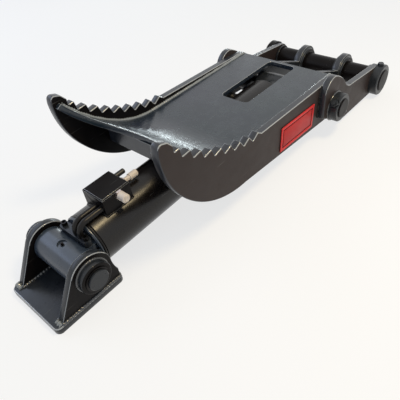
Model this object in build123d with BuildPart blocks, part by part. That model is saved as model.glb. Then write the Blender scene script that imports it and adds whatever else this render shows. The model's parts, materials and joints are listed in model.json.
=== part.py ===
from build123d import *
import os
from math import atan2, cos, degrees, hypot, radians, sin, sqrt

# Hydraulic thumb of an excavator: weld-on bracket, cylinder, rod and serrated two-plate thumb.
# Millimetres, +Z up. The origin is the centre of the bracket's underside, on the ground, and
# +X runs along the cylinder toward the main pin. The thumb is symmetric about Y = 0.

fit = 0.05                      # radial clearance of pins, bushes and screws
seat = 0.3                      # gap between curved faces that only lie close

# Bracket
base_length, base_width, base_thick, base_corner = 208.0, 204.0, 20.0, 14.0
bracket_ear_gap, bracket_ear_thick, bracket_ear_radius = 156.0, 20.0, 59.0
bracket_foot_back, bracket_foot_front, bracket_foot_rise = 84.0, 98.0, 28.0
bracket_boss_radius, bracket_boss_length = 43.5, 20.0
bracket_pin_x, bracket_pin_z, bracket_pin_radius = 29.0, 94.0, 27.5
bracket_head_radius, bracket_head_thick, bracket_pin_tail = 38.0, 12.0, 6.0
clip_thick, clip_radius, clip_groove = 3.0, 33.0, 2.0

# Cylinder
pin_distance, rod_pin_rise = 950.0, 20.0
barrel_radius, barrel_bore_radius = 73.0, 60.0
cap_eye_radius, cap_eye_width = 46.0, 150.0
cap_neck_width, cap_neck_top, cap_neck_low = 112.0, 32.0, 45.0
cap_disc_start, weld_at, weld_depth, cap_spigot = 57.0, 67.0, 5.0, 13.0
eye_recess_radius, eye_recess = 13.0, 5.0
bush_wall, barrel_end = 6.0, 860.0
rod_port_at, rod_port_angle, rod_port_bore, rod_port_hole = 762.0, 60.0, 9.0, 6.0
rod_port_radius, rod_port_height, rod_plug_flats, rod_plug_head = 21.0, 10.0, 32.0, 8.0
gland_flange_thick, gland_length, gland_spanner = 12.0, 50.0, 12.0
wiper_depth, wiper_wall, seal_wall, seal_width, seal_at = 8.0, 5.5, 6.5, 8.0, 30.0

# Rod
rod_radius, rod_end = 37.5, 893.0
piston_length, piston_front, piston_clearance = 70.0, 190.0, 0.05
piston_spigot_radius, piston_nut_length, piston_nut_flats = 25.0, 26.0, 74.0
ring_width, ring_depth = 8.0, 5.0
rod_eye_radius, rod_eye_width, rod_eye_neck = 52.0, 145.0, 46.0
rod_pin_radius = 32.5

# Valve block, pipes and fittings: lengths run along the cylinder, heights start at its axis
block_start, block_end, block_width = 118.0, 206.0, 80.0
block_low, block_top, block_edge = 62.5, 115.5, 3.0
pipe_radius, pipe_middle, pipe_spread, pipe_height, pipe_drop, pipe_bend = 8.0, -17.0, 9.5, 84.0, 42.0, 26.0
pipe_socket = 14.0
flange_length, flange_width, flange_thick = 23.0, 108.0, 18.0
screw_radius, screw_head_radius, screw_head, screw_spread, screw_depth = 5.0, 7.5, 10.0, 43.5, 20.0
port_at, port_height, port_flats, port_flange = 167.5, 100.5, 24.0, 7.0
port_tube, port_tube_radius, port_depth = 17.0, 8.5, 16.0
port_cap_radius, port_cap_floor = 12.0, 6.0
end_y, end_height, end_flats, end_flange, end_tube, end_tube_radius = -2.0, 91.0, 20.0, 10.0, 38.0, 5.0
end_cap_radius, end_cap_floor, end_cap_neck, end_cap_step = 9.5, 6.0, 7.0, 18.0
plug_y, plug_height, plug_radius, plug_length = 16.0, 105.0, 7.0, 30.0
nipple_radius, nipple_height, nipple_sink = 5.0, 9.0, 6.0

# Thumb: outline values are X and Z in the side view
outer_width, plate_thick = 400.0, 22.0
tooth_start, tooth_radius, tooth_depth = (257.0, 368.6), 582.1, 18.0
tooth_count, tooth_first, tooth_pitch, tooth_round = 9, 22.4, 40.1, 4.0
finger_back, finger_nose, finger_corner = (212.0, 370.0), (216.0, 394.0), (243.0, 385.0)
finger_angle, finger_round = 41.2, 11.0
step_foot, plate_top = (583.0, 218.0), 207.0
shoulder_x, shoulder_radius, shoulder_end = 987.0, 75.0, 207.0
neck_centre, neck_radius, neck_start, neck_end = (503.3, 395.2), 298.0, -0.5, 53.5
heel_centre, heel_radius, heel_start, heel_end = (457.9, 368.3), 245.4, 52.2, 90.4
main_pin_x, main_pin_z, main_pin_radius = 1315.0, 66.0, 40.0

# Ear plates lapped on the side plates
ear_back, ear_low, ear_high, ear_crown = 905.0, 100.0, 186.0, (963.0, 227.0)
ear_waist, ear_waist_low, ear_belly, ear_eye_radius = (1102.0, 140.0), (1069.0, 20.0), (958.0, 77.0), 52.0
ear_slope, ear_hollow, ear_dip = (1015.0, 199.0), (1051.0, 161.0), (1073.0, 146.0)
ear_keel, ear_keel_mid, ear_heel = (1027.0, 35.0), (1046.0, 25.0), (930.0, 87.0)

# Inner lugs
lug_inside, lug_eye_radius = 74.5, 66.0
lug_back, lug_top, lug_bottom = 890.0, 132.0, 74.0
lug_tie_start, lug_tie_end, lug_neck = 1003.0, 1015.0, (1240.0, 92.0)
boss_radius, boss_length, ear_boss_radius = 55.0, 10.0, 46.0

# Web and front plate
web_top, web_thick, web_right, web_bend_x = 200.0, 16.0, 1015.0, 530.0
bend_radius, bend_angle, lip_radius, lip_angle = 300.0, 28.0, 480.0, 53.0
slot_start, slot_end, slot_width, slot_corner = 716.0, 1003.0, 104.0, 18.0
bay_apex, bay_shoulder, bay_half, bay_mouth, bay_mouth_half = 355.0, 310.0, 130.0, 225.0, 167.0
bay_mid, bay_mid_half = 268.0, 151.5
front_x, front_thick, front_low = 350.0, 16.0, 187.0

# Pins and collars of the thumb
collar_radius, collar_length = 57.0, 30.0
rod_collar_radius, rod_collar_length = 47.5, 30.0
lock_radius, lock_flats, lock_head, lock_depth, lock_inset = 6.0, 19.0, 12.0, 40.0, 12.0
cross_radius, cross_flats, cross_head, cross_flat, cross_turn = 8.0, 25.0, 11.0, 4.0, 40.0

# Name plate, bare
label_centre, label_length, label_height, label_thick, label_turn = (775.0, 131.0), 190.0, 82.0, 1.5, -3.0
rivet_radius, rivet_height, rivet_inset = 3.0, 1.2, 8.0

os.makedirs("parts", exist_ok=True)


def finish(piece, name):
    """Label a finished piece and write it."""
    piece.part.label = name
    export_step(piece.part, f"parts/{name}.step")


def side_view(y):
    """Side-view plane at y: local X is X, local Y is Z, and it faces -Y."""
    return Plane.XZ.offset(-y)


def on_arc(centre, radius, angle):
    """Point of an arc below its centre, by the angle from straight down toward -X."""
    return (centre[0] - radius * sin(radians(angle)), centre[1] - radius * cos(radians(angle)))


def touch(centre, radius, point, side):
    """Point where a line from an outside point touches a circle; side is +1 above, -1 below."""
    away = atan2(point[1] - centre[1], point[0] - centre[0])
    turn = radians(90.0) - atan2(radius, sqrt(hypot(point[0] - centre[0], point[1] - centre[1]) ** 2 - radius ** 2))
    angle = away - side * turn
    return (centre[0] + radius * cos(angle), centre[1] + radius * sin(angle))


# Cylinder frame: s runs along the cylinder's axis from the bracket pin
pin_foot = Vector(bracket_pin_x, 0, bracket_pin_z)
run = sqrt(pin_distance ** 2 - rod_pin_rise ** 2)
along = Vector(run, 0, rod_pin_rise).normalized()
cylinder_axis = Axis(pin_foot, along)
cylinder_side = Plane(origin=pin_foot, x_dir=along, z_dir=(0, -1, 0))
rod_pin_x, rod_pin_z = bracket_pin_x + run, bracket_pin_z + rod_pin_rise


def station(s):
    """Cross-section plane of the cylinder at s: local X is +Y, local Y points up."""
    return Plane(origin=pin_foot + along * s, x_dir=(0, 1, 0), z_dir=along)


def level(t):
    """Plane along the cylinder at height t over its axis: local X is s, local Y is +Y."""
    return Plane(origin=pin_foot + cylinder_side.y_dir * t, x_dir=along, z_dir=cylinder_side.y_dir)


def rod_port(reach):
    """Plane across the rod-side port at a reach from the cylinder's axis, facing outward."""
    outward = Vector(0, sin(radians(rod_port_angle)), 0) + cylinder_side.y_dir * cos(radians(rod_port_angle))
    return Plane(origin=pin_foot + along * rod_port_at + outward * reach, x_dir=along, z_dir=outward)


ear_outside = bracket_ear_gap / 2 + bracket_ear_thick
boss_outside = ear_outside + bracket_boss_length
plate_outside = outer_width / 2
plate_inside = plate_outside - plate_thick
lap_outside = plate_outside + plate_thick
lug_outside = lug_inside + plate_thick

# Bracket base plate with rounded corners
with BuildPart() as base_plate:
    with BuildSketch(Plane.XY):
        RectangleRounded(base_length, base_width, base_corner)
    extrude(amount=base_thick)
    chamfer(base_plate.faces().sort_by(Axis.Z)[-1].edges(), 1.5)
finish(base_plate, "bracket_base_plate")

# Bracket ears: slanted back edge, round head about the bracket pin, welded on the base plate
ear_centre = (bracket_pin_x, bracket_pin_z)
back_touch = touch(ear_centre, bracket_ear_radius, (-bracket_foot_back, base_thick), 1)
front_touch = (bracket_pin_x + bracket_ear_radius, bracket_pin_z)
for name, side in (("near", -1), ("far", 1)):
    with BuildPart() as bracket_ear:
        with BuildSketch(side_view(side * (ear_outside - bracket_ear_thick / 2) + bracket_ear_thick / 2)):
            with BuildLine():
                Line((-bracket_foot_back, base_thick), back_touch)
                ThreePointArc(back_touch, (bracket_pin_x, bracket_pin_z + bracket_ear_radius), front_touch)
                TangentArc(front_touch, (bracket_foot_front, base_thick + bracket_foot_rise), tangent=(0, -1))
                Line((bracket_foot_front, base_thick + bracket_foot_rise), (bracket_foot_front, base_thick))
                Line((bracket_foot_front, base_thick), (-bracket_foot_back, base_thick))
            make_face()
            with Locations(ear_centre):
                Circle(bracket_pin_radius + fit, mode=Mode.SUBTRACT)
        extrude(amount=bracket_ear_thick)
    finish(bracket_ear, f"bracket_ear_{name}")

    with BuildPart() as bracket_boss:
        with BuildSketch(side_view(boss_outside if side > 0 else -ear_outside)):
            with Locations(ear_centre):
                Circle(bracket_boss_radius)
                Circle(bracket_pin_radius + fit, mode=Mode.SUBTRACT)
        extrude(amount=bracket_boss_length)
        chamfer(bracket_boss.faces().sort_by(Axis.Y)[-1 if side > 0 else 0].edges().sort_by(SortBy.RADIUS)[-1:], 2.0)
    finish(bracket_boss, f"bracket_boss_{name}")

# Bracket pin: round head on the far side, groove for the retaining ring on the near side
pin_near_end = -(boss_outside + clip_thick + bracket_pin_tail)
with BuildPart() as bracket_pin:
    with BuildSketch(side_view(boss_outside)):
        with Locations(ear_centre):
            Circle(bracket_pin_radius)
    extrude(amount=boss_outside - pin_near_end)
    with BuildSketch(side_view(boss_outside + bracket_head_thick)):
        with Locations(ear_centre):
            Circle(bracket_head_radius)
    extrude(amount=bracket_head_thick)
    chamfer(bracket_pin.faces().sort_by(Axis.Y)[-1].edges(), 2.0)
    chamfer(bracket_pin.faces().sort_by(Axis.Y)[0].edges(), 1.5)
    with BuildSketch(side_view(boss_outside + bracket_head_thick)):
        with Locations(ear_centre):
            Circle(nipple_radius)
    extrude(amount=nipple_height, mode=Mode.SUBTRACT)
    with BuildSketch(side_view(-boss_outside)):
        with Locations(ear_centre):
            Circle(bracket_pin_radius + 1)
            Circle(bracket_pin_radius - clip_groove, mode=Mode.SUBTRACT)
    extrude(amount=clip_thick + 2 * fit, mode=Mode.SUBTRACT)
finish(bracket_pin, "bracket_pin")

with BuildPart() as pin_clip:
    with BuildSketch(side_view(-boss_outside - fit)):
        with Locations(ear_centre):
            Circle(clip_radius)
            Circle(bracket_pin_radius - clip_groove + fit, mode=Mode.SUBTRACT)
        with Locations((bracket_pin_x + clip_radius - 3, bracket_pin_z)):
            Rectangle(14, 12, mode=Mode.SUBTRACT)
    extrude(amount=clip_thick)
finish(pin_clip, "bracket_pin_clip")

with BuildPart() as pin_nipple:
    head_face = boss_outside + bracket_head_thick
    with BuildSketch(side_view(head_face + nipple_height)):
        with Locations(ear_centre):
            Circle(nipple_radius - 1.5)
    extrude(amount=nipple_height)
    with BuildSketch(side_view(head_face)):
        with Locations(ear_centre):
            Circle(nipple_radius - fit)
    extrude(amount=nipple_height - 1)
    chamfer(pin_nipple.faces().sort_by(Axis.Y)[-1].edges(), 1.2)
finish(pin_nipple, "bracket_pin_nipple")

# Cylinder base cap: eye between the bracket ears, flat-topped neck, round disc and spigot
bush_outside = bracket_pin_radius + fit + bush_wall
with BuildPart() as base_cap:
    with BuildSketch(cylinder_side.offset(-cap_eye_width / 2)):
        Circle(cap_eye_radius)
    extrude(amount=cap_eye_width)
    with BuildSketch(station(0)):
        with Locations((0, (cap_neck_top - cap_neck_low) / 2)):
            Rectangle(cap_neck_width, cap_neck_top + cap_neck_low)
    extrude(amount=cap_disc_start + 1)
    with BuildSketch(cylinder_side):
        with BuildLine():
            Polyline(
                (cap_disc_start, 0),
                (cap_disc_start, barrel_radius - 3),
                (cap_disc_start + 3, barrel_radius),
                (weld_at - weld_depth, barrel_radius),
                (weld_at, barrel_radius - weld_depth),
                (weld_at, barrel_bore_radius - fit),
                (weld_at + cap_spigot, barrel_bore_radius - fit),
                (weld_at + cap_spigot, 0),
                close=True,
            )
        make_face()
    revolve(axis=cylinder_axis)
    with BuildSketch(cylinder_side.offset(-cap_eye_width / 2)):
        Circle(bush_outside + fit)
    extrude(amount=cap_eye_width, mode=Mode.SUBTRACT)
    seat_start = pipe_drop - flange_length / 2 - seat
    with BuildSketch(level(cap_neck_top)):
        with Locations(((seat_start + cap_disc_start) / 2, 0)):
            Rectangle(cap_disc_start - seat_start, flange_width + 2)
    extrude(amount=cap_eye_radius, mode=Mode.SUBTRACT)
    with BuildSketch(level(cap_neck_top)):
        with Locations((pipe_drop, -screw_spread), (pipe_drop, screw_spread)):
            Circle(screw_radius + fit)
    extrude(amount=-screw_depth, mode=Mode.SUBTRACT)
    with BuildSketch(level(cap_eye_radius)):
        Circle(eye_recess_radius)
    extrude(amount=-eye_recess, mode=Mode.SUBTRACT)
    with BuildSketch(level(cap_eye_radius - eye_recess)):
        Circle(nipple_radius)
    extrude(amount=-nipple_sink, mode=Mode.SUBTRACT)
finish(base_cap, "cylinder_base_cap")

with BuildPart() as base_bush:
    with BuildSketch(cylinder_side.offset(-cap_eye_width / 2)):
        Circle(bush_outside)
        Circle(bracket_pin_radius + fit, mode=Mode.SUBTRACT)
    extrude(amount=cap_eye_width)
finish(base_bush, "base_eye_bush")

with BuildPart() as eye_nipple:
    with BuildSketch(level(cap_eye_radius - eye_recess - nipple_sink)):
        Circle(nipple_radius - fit)
    extrude(amount=nipple_sink + 2)
    with BuildSketch(level(cap_eye_radius - eye_recess + 2)):
        Circle(nipple_radius - 2)
    extrude(amount=nipple_height - 2)
    chamfer(eye_nipple.edges().sort_by(Axis.Z)[-1:], 1.2)
finish(eye_nipple, "base_eye_nipple")

# Barrel tube, its edge chamfered for the welding groove
with BuildPart() as barrel:
    with BuildSketch(cylinder_side):
        with BuildLine():
            Polyline(
                (weld_at, barrel_bore_radius),
                (weld_at, barrel_radius - weld_depth),
                (weld_at + weld_depth, barrel_radius),
                (barrel_end, barrel_radius),
                (barrel_end, barrel_bore_radius),
                close=True,
            )
        make_face()
    revolve(axis=cylinder_axis)
    with BuildSketch(rod_port(barrel_bore_radius - 1)):
        Circle(rod_port_hole)
    extrude(amount=barrel_radius - barrel_bore_radius + 2, mode=Mode.SUBTRACT)
finish(barrel, "cylinder_barrel")

# Boss of the rod-side port on the barrel's upper far side, closed by a hexagon plug
with BuildPart() as port_boss:
    with BuildSketch(rod_port(barrel_bore_radius)):
        Circle(rod_port_radius)
        Circle(rod_port_bore + fit, mode=Mode.SUBTRACT)
    extrude(amount=barrel_radius - barrel_bore_radius + rod_port_height)
    chamfer(port_boss.faces().sort_by(Axis.Y)[-1].edges().sort_by(SortBy.RADIUS)[-1:], 2.0)
    with BuildSketch(station(rod_port_at - rod_port_radius - 1)):
        Circle(barrel_radius + fit)
    extrude(amount=2 * rod_port_radius + 2, mode=Mode.SUBTRACT)
finish(port_boss, "rod_port_boss")

with BuildPart() as port_plug:
    with BuildSketch(rod_port(barrel_radius + rod_port_height)):
        RegularPolygon(rod_plug_flats / 2, 6, major_radius=False)
    extrude(amount=rod_plug_head)
    with BuildSketch(rod_port(barrel_radius + 1)):
        Circle(rod_port_bore)
    extrude(amount=rod_port_height - 1)
finish(port_plug, "rod_port_plug")

# Gland at the rod's end: flange with spanner slots, guide in the bore, grooves for wiper and seal
flange_end = barrel_end + gland_flange_thick
gland_start = barrel_end - gland_length
rod_bore = rod_radius + fit
with BuildPart() as gland:
    with BuildSketch(cylinder_side):
        with BuildLine():
            Polyline(
                (gland_start, rod_bore),
                (gland_start, barrel_bore_radius - fit),
                (barrel_end, barrel_bore_radius - fit),
                (barrel_end, barrel_radius - 1),
                (flange_end - 3, barrel_radius - 1),
                (flange_end, barrel_radius - 4),
                (flange_end, rod_bore + wiper_wall),
                (flange_end - wiper_depth, rod_bore + wiper_wall),
                (flange_end - wiper_depth, rod_bore),
                (gland_start + seal_at + seal_width, rod_bore),
                (gland_start + seal_at + seal_width, rod_bore + seal_wall),
                (gland_start + seal_at, rod_bore + seal_wall),
                (gland_start + seal_at, rod_bore),
                close=True,
            )
        make_face()
    revolve(axis=cylinder_axis)
    with BuildSketch(station(flange_end)):
        with PolarLocations(barrel_radius - 1, 4, start_angle=45):
            Rectangle(12, gland_spanner)
    extrude(amount=-gland_flange_thick / 2, mode=Mode.SUBTRACT)
finish(gland, "cylinder_gland")

with BuildPart() as wiper:
    with BuildSketch(station(flange_end - wiper_depth + fit)):
        Circle(rod_bore + wiper_wall - fit)
        Circle(rod_bore, mode=Mode.SUBTRACT)
    extrude(amount=wiper_depth)
    chamfer(wiper.faces().sort_by(Axis.X)[-1].edges().sort_by(SortBy.RADIUS)[-1:], 2.0)
finish(wiper, "rod_wiper")

with BuildPart() as rod_seal:
    with BuildSketch(station(gland_start + seal_at + fit)):
        Circle(rod_bore + seal_wall - fit)
        Circle(rod_bore, mode=Mode.SUBTRACT)
    extrude(amount=seal_width - 2 * fit)
finish(rod_seal, "rod_seal")

# Rod with its spigot, piston, two piston rings and nut
nut_back = piston_front - piston_length - piston_nut_length
with BuildPart() as rod:
    with BuildSketch(cylinder_side):
        with BuildLine():
            Polyline(
                (nut_back - 2, 0),
                (nut_back - 2, piston_spigot_radius - 2),
                (nut_back, piston_spigot_radius),
                (piston_front, piston_spigot_radius),
                (piston_front, rod_radius),
                (rod_end, rod_radius),
                (rod_end, 0),
                close=True,
            )
        make_face()
    revolve(axis=cylinder_axis)
finish(rod, "piston_rod")

piston_outside = barrel_bore_radius - piston_clearance
ring_starts = [piston_front - piston_length + piston_length * share - ring_width / 2 for share in (0.25, 0.75)]
with BuildPart() as piston:
    with BuildSketch(station(piston_front - piston_length)):
        Circle(piston_outside)
        Circle(piston_spigot_radius + fit, mode=Mode.SUBTRACT)
    extrude(amount=piston_length)
    for start in ring_starts:
        with BuildSketch(station(start)):
            Circle(piston_outside + 1)
            Circle(piston_outside - ring_depth, mode=Mode.SUBTRACT)
        extrude(amount=ring_width, mode=Mode.SUBTRACT)
finish(piston, "piston")

for number, start in enumerate(ring_starts, 1):
    with BuildPart() as piston_ring:
        with BuildSketch(station(start + fit)):
            Circle(piston_outside)
            Circle(piston_outside - ring_depth + fit, mode=Mode.SUBTRACT)
        extrude(amount=ring_width - 2 * fit)
    finish(piston_ring, f"piston_ring_{number}")

with BuildPart() as piston_nut:
    with BuildSketch(station(nut_back)):
        RegularPolygon(piston_nut_flats / 2, 6, major_radius=False)
        Circle(piston_spigot_radius + fit, mode=Mode.SUBTRACT)
    extrude(amount=piston_nut_length)
finish(piston_nut, "piston_nut")

# Rod eye with its turned neck, and the bush in it
rod_bush_outside = rod_pin_radius + fit + bush_wall
with BuildPart() as rod_eye:
    with BuildSketch(cylinder_side):
        with BuildLine():
            Polyline(
                (rod_end, 0),
                (rod_end, rod_radius),
                (rod_end + 12, rod_eye_neck),
                (pin_distance, rod_eye_neck),
                (pin_distance, 0),
                close=True,
            )
        make_face()
    revolve(axis=cylinder_axis)
    eye_view = Plane(origin=(rod_pin_x, -rod_eye_width / 2, rod_pin_z), x_dir=(1, 0, 0), z_dir=(0, -1, 0))
    with BuildSketch(eye_view):
        Circle(rod_eye_radius)
    extrude(amount=-rod_eye_width)
    with BuildSketch(eye_view):
        Circle(rod_bush_outside + fit)
    extrude(amount=-rod_eye_width, mode=Mode.SUBTRACT)
finish(rod_eye, "rod_eye")

with BuildPart() as rod_bush:
    with BuildSketch(eye_view):
        Circle(rod_bush_outside)
        Circle(rod_pin_radius + fit, mode=Mode.SUBTRACT)
    extrude(amount=-rod_eye_width)
finish(rod_bush, "rod_eye_bush")

# Valve block on the barrel's crest
half_block = block_width / 2
with BuildPart() as valve_block:
    with BuildSketch(level(block_low)):
        with Locations(((block_start + block_end) / 2, 0)):
            Rectangle(block_end - block_start, block_width)
    extrude(amount=block_top - block_low)
    chamfer(valve_block.faces().sort_by(Axis.Z)[-1].edges(), block_edge)
    with BuildSketch(station(block_start)):
        Circle(barrel_radius + fit)
    extrude(amount=block_end - block_start, mode=Mode.SUBTRACT)
    with BuildSketch(station(block_start)):
        with Locations((pipe_middle - pipe_spread, pipe_height), (pipe_middle + pipe_spread, pipe_height)):
            Circle(pipe_radius + fit)
    extrude(amount=pipe_socket, mode=Mode.SUBTRACT)
    with BuildSketch(station(block_end)):
        with Locations((end_y, end_height)):
            Circle(end_tube_radius + fit)
        with Locations((plug_y, plug_height)):
            Circle(plug_radius - 2 + fit)
    extrude(amount=-port_depth, mode=Mode.SUBTRACT)
    with BuildSketch(cylinder_side.offset(half_block)):
        with Locations((port_at, port_height)):
            Circle(port_tube_radius + fit)
    extrude(amount=-port_depth, mode=Mode.SUBTRACT)
finish(valve_block, "valve_block")

# Flange bar with its two socket screws on the cap's neck
with BuildPart() as flange_bar:
    with BuildSketch(level(cap_neck_top)):
        with Locations((pipe_drop, 0)):
            RectangleRounded(flange_length, flange_width, 8)
        with Locations((pipe_drop, -screw_spread), (pipe_drop, screw_spread)):
            Circle(screw_radius + fit, mode=Mode.SUBTRACT)
        with Locations((pipe_drop, pipe_middle - pipe_spread), (pipe_drop, pipe_middle + pipe_spread)):
            Circle(pipe_radius + fit, mode=Mode.SUBTRACT)
    extrude(amount=flange_thick)
finish(flange_bar, "pipe_flange_bar")

for name, side in (("near", -1), ("far", 1)):
    with BuildPart() as flange_screw:
        with BuildSketch(level(cap_neck_top - screw_depth + 1)):
            with Locations((pipe_drop, side * screw_spread)):
                Circle(screw_radius)
        extrude(amount=screw_depth - 1 + flange_thick)
        with BuildSketch(level(cap_neck_top + flange_thick)):
            with Locations((pipe_drop, side * screw_spread)):
                Circle(screw_head_radius)
        extrude(amount=screw_head)
        with BuildSketch(level(cap_neck_top + flange_thick + screw_head)):
            with Locations((pipe_drop, side * screw_spread)):
                RegularPolygon(screw_radius - 1, 6, major_radius=False)
        extrude(amount=-screw_head / 2, mode=Mode.SUBTRACT)
    finish(flange_screw, f"flange_screw_{name}")

    with BuildPart() as oil_pipe:
        with BuildLine(cylinder_side.offset(-pipe_middle - side * pipe_spread)) as pipe_path:
            FilletPolyline(
                (block_start + pipe_socket - 1, pipe_height),
                (pipe_drop, pipe_height),
                (pipe_drop, cap_neck_top),
                radius=pipe_bend,
            )
        with BuildSketch(Plane(origin=pipe_path.line @ 0, z_dir=pipe_path.line % 0)):
            Circle(pipe_radius)
        sweep(path=pipe_path.line)
    finish(oil_pipe, f"oil_pipe_{name}")

# Port adapter on the block's near face and the protective cap over its tube
with BuildPart() as port_adapter:
    port_face = cylinder_side.offset(half_block)
    with BuildSketch(port_face):
        with Locations((port_at, port_height)):
            RegularPolygon(port_flats / 2, 6, major_radius=False)
    extrude(amount=port_flange)
    with BuildSketch(port_face.offset(-port_depth + 1)):
        with Locations((port_at, port_height)):
            Circle(port_tube_radius)
    extrude(amount=port_depth - 1 + port_flange + port_tube)
finish(port_adapter, "port_adapter")

with BuildPart() as port_cap:
    with BuildSketch(port_face.offset(port_flange + seat)):
        with Locations((port_at, port_height)):
            Circle(port_cap_radius)
    extrude(amount=port_tube + port_cap_floor)
    chamfer(port_cap.faces().sort_by(Axis.Y)[0].edges(), 2.0)
    with BuildSketch(port_face.offset(port_flange + seat)):
        with Locations((port_at, port_height)):
            Circle(port_tube_radius + fit)
    extrude(amount=port_tube, mode=Mode.SUBTRACT)
finish(port_cap, "port_cap")

# Small adapter, its cap and the plug on the block's end
with BuildPart() as end_adapter:
    with BuildSketch(station(block_end)):
        with Locations((end_y, end_height)):
            RegularPolygon(end_flats / 2, 6, major_radius=False)
    extrude(amount=end_flange)
    with BuildSketch(station(block_end - port_depth + 1)):
        with Locations((end_y, end_height)):
            Circle(end_tube_radius)
    extrude(amount=port_depth - 1 + end_flange + end_tube)
finish(end_adapter, "end_adapter")

with BuildPart() as end_cap:
    with BuildSketch(station(block_end + end_flange + seat)):
        with Locations((end_y, end_height)):
            Circle(end_cap_neck)
    extrude(amount=end_cap_step)
    with BuildSketch(station(block_end + end_flange + seat + end_cap_step)):
        with Locations((end_y, end_height)):
            Circle(end_cap_radius)
    extrude(amount=end_tube + end_cap_floor - end_cap_step)
    chamfer(end_cap.faces().sort_by(Axis.X)[-1].edges(), 1.5)
    with BuildSketch(station(block_end + end_flange + seat)):
        with Locations((end_y, end_height)):
            Circle(end_tube_radius + fit)
    extrude(amount=end_tube, mode=Mode.SUBTRACT)
finish(end_cap, "end_cap")

with BuildPart() as end_plug:
    with BuildSketch(station(block_end - port_depth + 1)):
        with Locations((plug_y, plug_height)):
            Circle(plug_radius - 2)
    extrude(amount=port_depth - 1)
    with BuildSketch(station(block_end)):
        with Locations((plug_y, plug_height)):
            Circle(plug_radius)
    extrude(amount=plug_length)
    chamfer(end_plug.faces().sort_by(Axis.X)[-1].edges(), 1.5)
finish(end_plug, "end_plug")

# Side plates: rounded finger with teeth on its upper edge, cranked neck, round pivot end
tooth_centre = (
    tooth_start[0] + tooth_radius * sin(radians(finger_angle)),
    tooth_start[1] + tooth_radius * cos(radians(finger_angle)),
)


def along_teeth(length, depth):
    """Point of the tooth line, by the length from its start and the depth under the tips."""
    return on_arc(tooth_centre, tooth_radius + depth, finger_angle - degrees(length / tooth_radius))


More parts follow.
